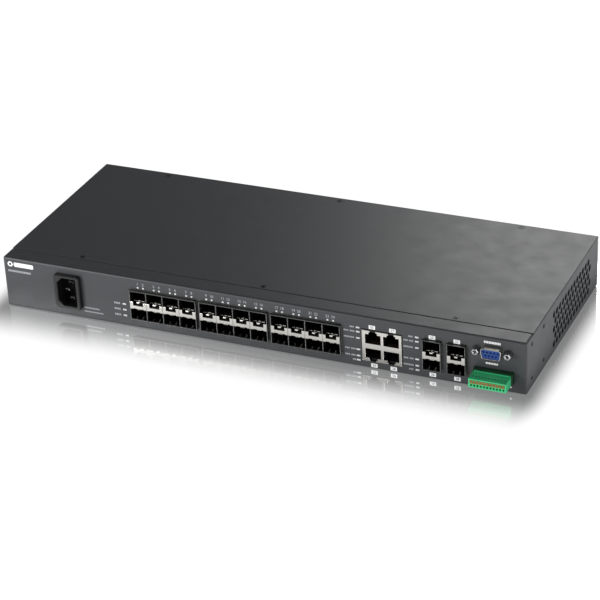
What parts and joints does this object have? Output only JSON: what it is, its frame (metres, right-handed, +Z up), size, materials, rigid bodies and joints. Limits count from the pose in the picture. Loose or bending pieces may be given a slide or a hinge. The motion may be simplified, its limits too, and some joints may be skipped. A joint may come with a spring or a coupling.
{
  "type": "rackmount network switch",
  "caption": "One rack unit managed network switch: steel case with stacked fibre cages, copper jacks, console port, alarm terminals and a mains inlet.",
  "frame": {"origin": "centre of the case's flat underside", "axes": "+Z up, +X to the right of a viewer who faces the front panel, the front panel faces -Y"},
  "size_m": [0.438, 0.1993, 0.044],
  "materials": {
    "powder_coated_steel": "fine textured charcoal powder coat",
    "black_screw": "black oxide",
    "zinc_steel": "bright zinc plate",
    "nickel_plate": "bright nickel or tin plate on thin sheet",
    "gasket_metal": "dull plated spring fingers",
    "circuit_board": "green solder mask",
    "chip_plastic": "moulded epoxy",
    "bare_aluminium": "extruded and anodised",
    "capacitor_can": "heat-shrink sleeve",
    "ferrite": "dull ceramic",
    "black_plastic": "moulded PBT",
    "gold_contact": "gold flash",
    "tin_contact": "bright tin",
    "blue_plastic": "moulded PBT",
    "grey_ribbon": "PVC",
    "dark_green_plastic": "moulded polyamide",
    "green_plastic": "moulded polyamide",
    "orange_plastic": "moulded polyamide",
    "wire_insulation": "PVC",
    "insulator_sheet": "polycarbonate film",
    "copper_winding": "enamelled copper",
    "fan_plastic": "moulded PBT",
    "light_pipe": "clear polycarbonate"
  },
  "bodies": {
    "chassis": {"base_chassis": "powder_coated_steel", "top_cover": "powder_coated_steel", "cover_screws": "black_screw", "ground_screw": "zinc_steel", "main_board": "circuit_board", "board_standoffs": "zinc_steel", "board_screws": "zinc_steel", "switch_chip": "chip_plastic", "switch_heatsink": "bare_aluminium", "phy_chips": "chip_plastic", "phy_heatsinks": "bare_aluminium", "memory_chips": "chip_plastic", "board_capacitors": "capacitor_can", "power_inductors": "ferrite", "sfp_cage_a": "nickel_plate", "sfp_cage_b": "nickel_plate", "sfp_cage_c": "nickel_plate", "combo_cage_a": "nickel_plate", "combo_cage_b": "nickel_plate", "sfp_connectors": "black_plastic", "cage_gaskets": "gasket_metal", "rj45_shield": "nickel_plate", "rj45_housing": "black_plastic", "rj45_contacts": "gold_contact", "dsub_shell": "nickel_plate", "dsub_insulator": "blue_plastic", "dsub_jackscrews": "nickel_plate", "console_board": "circuit_board", "console_ribbon": "grey_ribbon", "terminal_header": "dark_green_plastic", "terminal_pins": "tin_contact", "inlet_housing": "black_plastic", "inlet_blades": "tin_contact", "mains_wires": "wire_insulation", "power_board": "circuit_board", "power_transformer": "ferrite", "power_capacitors": "capacitor_can", "power_heatsinks": "bare_aluminium", "power_choke": "ferrite", "power_insulator": "insulator_sheet", "power_harness": "wire_insulation", "fan_frames": "black_plastic", "fan_stators": "copper_winding", "fan_bracket": "zinc_steel", "fan_screws": "zinc_steel", "led_light_pipes": "light_pipe"},
    "plug": {"terminal_plug": "green_plastic"},
    "rotor_front": {"fan_rotor_front": "fan_plastic"},
    "rotor_rear": {"fan_rotor_rear": "fan_plastic"},
    "button_01": {"release_button_01": "orange_plastic"},
    "button_02": {"release_button_02": "orange_plastic"},
    "button_03": {"release_button_03": "orange_plastic"},
    "button_04": {"release_button_04": "orange_plastic"},
    "button_05": {"release_button_05": "orange_plastic"},
    "button_06": {"release_button_06": "orange_plastic"},
    "button_07": {"release_button_07": "orange_plastic"},
    "button_08": {"release_button_08": "orange_plastic"},
    "button_09": {"release_button_09": "orange_plastic"},
    "button_10": {"release_button_10": "orange_plastic"},
    "button_11": {"release_button_11": "orange_plastic"}
  },
  "joints": [
    {"name": "plug_slide", "type": "slide", "parent": "chassis", "child": "plug", "axis": [0, -1, 0], "range_m": [0, 0.012]},
    {"name": "button_01_press", "type": "slide", "parent": "plug", "child": "button_01", "axis": [0, 1, 0], "range_m": [0, 0.001], "stiffness_N_per_m": 900},
    {"name": "button_02_press", "type": "slide", "parent": "plug", "child": "button_02", "axis": [0, 1, 0], "range_m": [0, 0.001], "stiffness_N_per_m": 900},
    {"name": "button_03_press", "type": "slide", "parent": "plug", "child": "button_03", "axis": [0, 1, 0], "range_m": [0, 0.001], "stiffness_N_per_m": 900},
    {"name": "button_04_press", "type": "slide", "parent": "plug", "child": "button_04", "axis": [0, 1, 0], "range_m": [0, 0.001], "stiffness_N_per_m": 900},
    {"name": "button_05_press", "type": "slide", "parent": "plug", "child": "button_05", "axis": [0, 1, 0], "range_m": [0, 0.001], "stiffness_N_per_m": 900},
    {"name": "button_06_press", "type": "slide", "parent": "plug", "child": "button_06", "axis": [0, 1, 0], "range_m": [0, 0.001], "stiffness_N_per_m": 900},
    {"name": "button_07_press", "type": "slide", "parent": "plug", "child": "button_07", "axis": [0, 1, 0], "range_m": [0, 0.001], "stiffness_N_per_m": 900},
    {"name": "button_08_press", "type": "slide", "parent": "plug", "child": "button_08", "axis": [0, 1, 0], "range_m": [0, 0.001], "stiffness_N_per_m": 900},
    {"name": "button_09_press", "type": "slide", "parent": "plug", "child": "button_09", "axis": [0, 1, 0], "range_m": [0, 0.001], "stiffness_N_per_m": 900},
    {"name": "button_10_press", "type": "slide", "parent": "plug", "child": "button_10", "axis": [0, 1, 0], "range_m": [0, 0.001], "stiffness_N_per_m": 900},
    {"name": "button_11_press", "type": "slide", "parent": "plug", "child": "button_11", "axis": [0, 1, 0], "range_m": [0, 0.001], "stiffness_N_per_m": 900},
    {"name": "fan_front_spin", "type": "hinge", "parent": "chassis", "child": "rotor_front", "pos_m": [0.2072, 0.0004, 0.0212], "axis": [1, 0, 0], "continuous": true},
    {"name": "fan_rear_spin", "type": "hinge", "parent": "chassis", "child": "rotor_rear", "pos_m": [0.2072, 0.0416, 0.0212], "axis": [1, 0, 0], "continuous": true}
  ]
}
